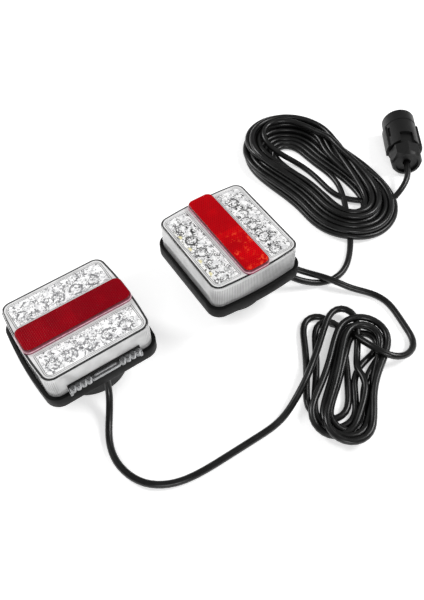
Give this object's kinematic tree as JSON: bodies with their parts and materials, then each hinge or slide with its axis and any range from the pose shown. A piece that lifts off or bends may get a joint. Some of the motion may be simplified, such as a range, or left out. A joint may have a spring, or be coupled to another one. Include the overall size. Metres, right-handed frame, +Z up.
{
  "type": "trailer tail light",
  "caption": "Pair of square LED trailer tail lamps on magnet feet, with a red reflector bar each, a coiled link lead and a coiled main lead ending in a round trailer plug.",
  "frame": {"origin": "on the floor at the centre of the right lamp's magnet foot", "axes": "+Z up along the foot's bolt, +X along the right lamp's reflector bar, the left lamp lies towards -Y"},
  "size_m": [0.369, 0.4995, 0.075],
  "materials": {
    "clear_lens": "clear gloss",
    "red_reflector": "clear red gloss",
    "chrome_tray": "bright metallised plastic",
    "circuit_board": "white solder mask",
    "led_dome": "clear gloss",
    "amber_chip": "pale yellow phosphor",
    "black_rubber": "matt",
    "foot_rubber": "satin",
    "magnet_ferrite": "matt grey",
    "zinc_steel": "zinc plated",
    "brass_pins": "plated",
    "plug_plastic": "satin",
    "black_plastic": "satin",
    "cable_jacket": "gloss"
  },
  "bodies": {
    "lamps_and_leads": {"left_base": "black_plastic", "left_lens_gasket": "black_rubber", "left_lens": "clear_lens", "left_reflector_bar": "red_reflector", "left_led_tray": "chrome_tray", "left_circuit_board": "circuit_board", "left_led_chips": "led_dome", "left_amber_chips": "amber_chip", "left_lens_screws": "zinc_steel", "left_cable_grommet": "black_rubber", "left_foot_bolt": "zinc_steel", "left_foot_washer": "zinc_steel", "left_foot_nut": "zinc_steel", "left_plate_window": "clear_lens", "left_plate_board": "circuit_board", "left_plate_leds": "led_dome", "right_base": "black_plastic", "right_lens_gasket": "black_rubber", "right_lens": "clear_lens", "right_reflector_bar": "red_reflector", "right_led_tray": "chrome_tray", "right_circuit_board": "circuit_board", "right_led_chips": "led_dome", "right_amber_chips": "amber_chip", "right_lens_screws": "zinc_steel", "right_cable_grommets": "black_rubber", "right_foot_bolt": "zinc_steel", "right_foot_washer": "zinc_steel", "right_foot_nut": "zinc_steel", "plug_shell": "plug_plastic", "plug_pin_carrier": "plug_plastic", "plug_pins": "brass_pins", "plug_cable_seal": "black_rubber", "main_lead": "cable_jacket", "main_lead_hank": "cable_jacket", "plug_lead": "cable_jacket", "link_lead_b": "cable_jacket", "link_lead_hank": "cable_jacket", "link_lead_a": "cable_jacket"},
    "left_magnet_foot": {"left_foot_shell": "foot_rubber", "left_foot_steel_cup": "zinc_steel", "left_foot_magnet": "magnet_ferrite", "left_foot_pad": "black_rubber"},
    "right_magnet_foot": {"right_foot_shell": "foot_rubber", "right_foot_steel_cup": "zinc_steel", "right_foot_magnet": "magnet_ferrite", "right_foot_pad": "black_rubber"},
    "gland_nut": {"plug_gland_nut": "plug_plastic"}
  },
  "joints": [
    {"name": "left_foot_swivel", "type": "hinge", "parent": "lamps_and_leads", "child": "left_magnet_foot", "pos_m": [0.003, -0.1545, 0.02], "axis": [0, 0, 1], "continuous": true},
    {"name": "right_foot_swivel", "type": "hinge", "parent": "lamps_and_leads", "child": "right_magnet_foot", "pos_m": [0, 0, 0.02], "axis": [0, 0, 1], "continuous": true},
    {"name": "gland_nut_turn", "type": "hinge", "parent": "lamps_and_leads", "child": "gland_nut", "pos_m": [-0.01949, 0.24349, 0.0176], "axis": [-0.832, 0.5548, 0], "range_deg": [0, 360]}
  ]
}
